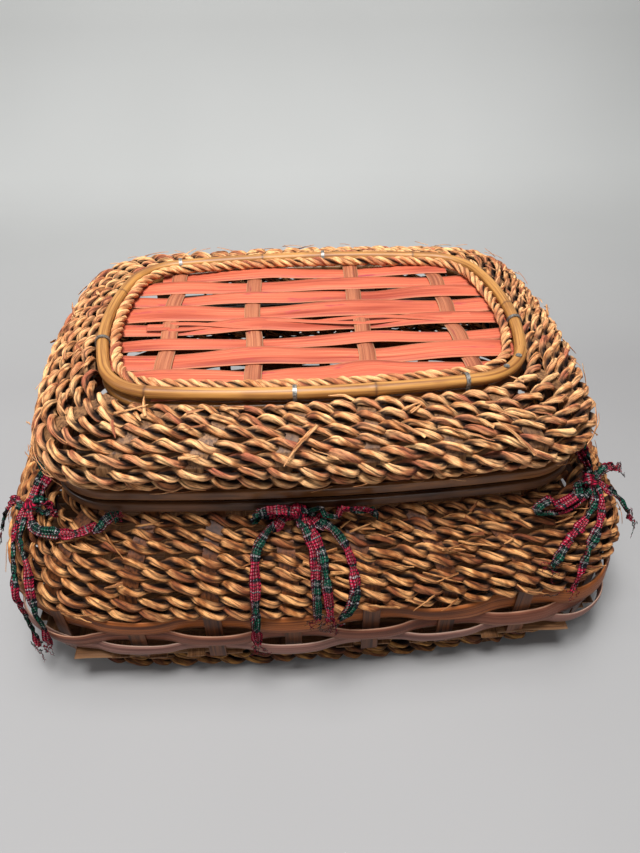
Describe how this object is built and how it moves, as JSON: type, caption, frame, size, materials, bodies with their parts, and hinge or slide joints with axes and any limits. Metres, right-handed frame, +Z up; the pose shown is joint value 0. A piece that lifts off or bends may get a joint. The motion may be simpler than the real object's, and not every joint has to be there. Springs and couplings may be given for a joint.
{
  "type": "lidded wicker basket",
  "caption": "Low oval-cornered storage basket of twined seagrass and woven splint, with a hinged lid, a woven panel in a hoop, and cloth bows.",
  "frame": {"origin": "middle of the basket's outline at floor level", "axes": "+X to the right along the long side, -Y to the front with the bows, +Z up"},
  "size_m": [0.4432, 0.3299, 0.201],
  "materials": {
    "seagrass_rope": "rough twisted grass",
    "rattan_pole": "glossy cane skin",
    "brown_splint": "satin stained reed",
    "coral_splint": "satin dyed reed",
    "natural_stake": "matte reed",
    "tartan_cloth": "woven cotton",
    "nail_steel": "dull wire",
    "lashing_cord": "twisted cord"
  },
  "bodies": {
    "basket": {"base_spokes": "brown_splint", "base_weavers": "brown_splint", "body_lashing_left": "lashing_cord", "body_lashing_right": "lashing_cord", "body_rim_inner": "rattan_pole", "body_rim_outer": "rattan_pole", "body_rope_row_1": "seagrass_rope", "body_rope_row_2": "seagrass_rope", "body_rope_row_3": "seagrass_rope", "body_rope_row_4": "seagrass_rope", "body_rope_row_5": "seagrass_rope", "body_rope_row_6": "seagrass_rope", "body_rope_row_7": "seagrass_rope", "body_rope_row_8": "seagrass_rope", "body_stakes_back": "natural_stake", "body_stakes_corners": "natural_stake", "body_stakes_front": "natural_stake", "body_stakes_left": "natural_stake", "body_stakes_right": "natural_stake", "bow_front_knot": "tartan_cloth", "bow_front_loops": "tartan_cloth", "bow_front_tails": "tartan_cloth", "bow_left_knot": "tartan_cloth", "bow_left_loops": "tartan_cloth", "bow_left_tails": "tartan_cloth", "bow_right_knot": "tartan_cloth", "bow_right_loops": "tartan_cloth", "bow_right_tails": "tartan_cloth", "foot_rope_row_1": "seagrass_rope", "foot_rope_row_2": "seagrass_rope", "foot_rope_row_3": "seagrass_rope", "foot_stakes": "natural_stake", "splint_row_1": "brown_splint", "splint_row_2": "brown_splint", "splint_row_3": "brown_splint"},
    "lid": {"hoop_nails": "nail_steel", "hoop_ties": "nail_steel", "lid_lashing_left": "lashing_cord", "lid_lashing_right": "lashing_cord", "lid_rim_inner": "rattan_pole", "lid_rim_outer": "rattan_pole", "lid_rope_row_1": "seagrass_rope", "lid_rope_row_2": "seagrass_rope", "lid_rope_row_3": "seagrass_rope", "lid_rope_row_4": "seagrass_rope", "lid_rope_row_5": "seagrass_rope", "lid_rope_row_6": "seagrass_rope", "lid_rope_row_7": "seagrass_rope", "lid_rope_row_8": "seagrass_rope", "lid_stakes_back": "natural_stake", "lid_stakes_corners": "natural_stake", "lid_stakes_front": "natural_stake", "lid_stakes_left": "natural_stake", "lid_stakes_right": "natural_stake", "panel_spokes": "coral_splint", "panel_twining": "coral_splint", "panel_weavers": "coral_splint", "top_hoop": "rattan_pole", "top_inner_rope": "seagrass_rope", "under_hoop": "rattan_pole"}
  },
  "joints": [
    {"name": "lid_hinge", "type": "hinge", "parent": "basket", "child": "lid", "pos_m": [0, 0.12147, 0.1409], "axis": [-1, 0, 0], "range_deg": [0, 105]}
  ]
}
